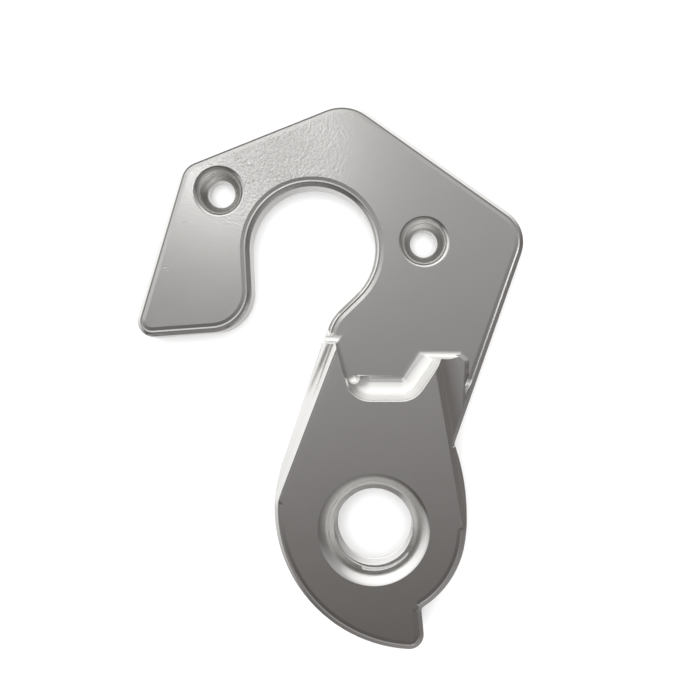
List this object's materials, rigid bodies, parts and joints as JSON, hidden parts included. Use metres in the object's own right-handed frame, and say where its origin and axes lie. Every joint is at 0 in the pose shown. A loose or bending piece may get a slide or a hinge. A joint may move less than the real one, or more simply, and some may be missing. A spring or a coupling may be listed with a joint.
{
  "type": "bicycle derailleur hanger",
  "caption": "Flat machined bracket: a hooked plate with an axle slot and countersunk screw holes, and a thicker lobe with a threaded bore and a stop nose.",
  "frame": {"origin": "on the axis of the derailleur bore, at the back face", "axes": "+Z along the derailleur bore, out of the raised lobe's face; +Y up towards the frame end; +X towards the plain side edge"},
  "size_m": [0.0467, 0.065, 0.007],
  "materials": {
    "aluminium": "tumbled bare aluminium, satin with fine sparkle, machined edges brighter"
  },
  "bodies": {
    "root": {"hanger": "aluminium"}
  },
  "joints": []
}
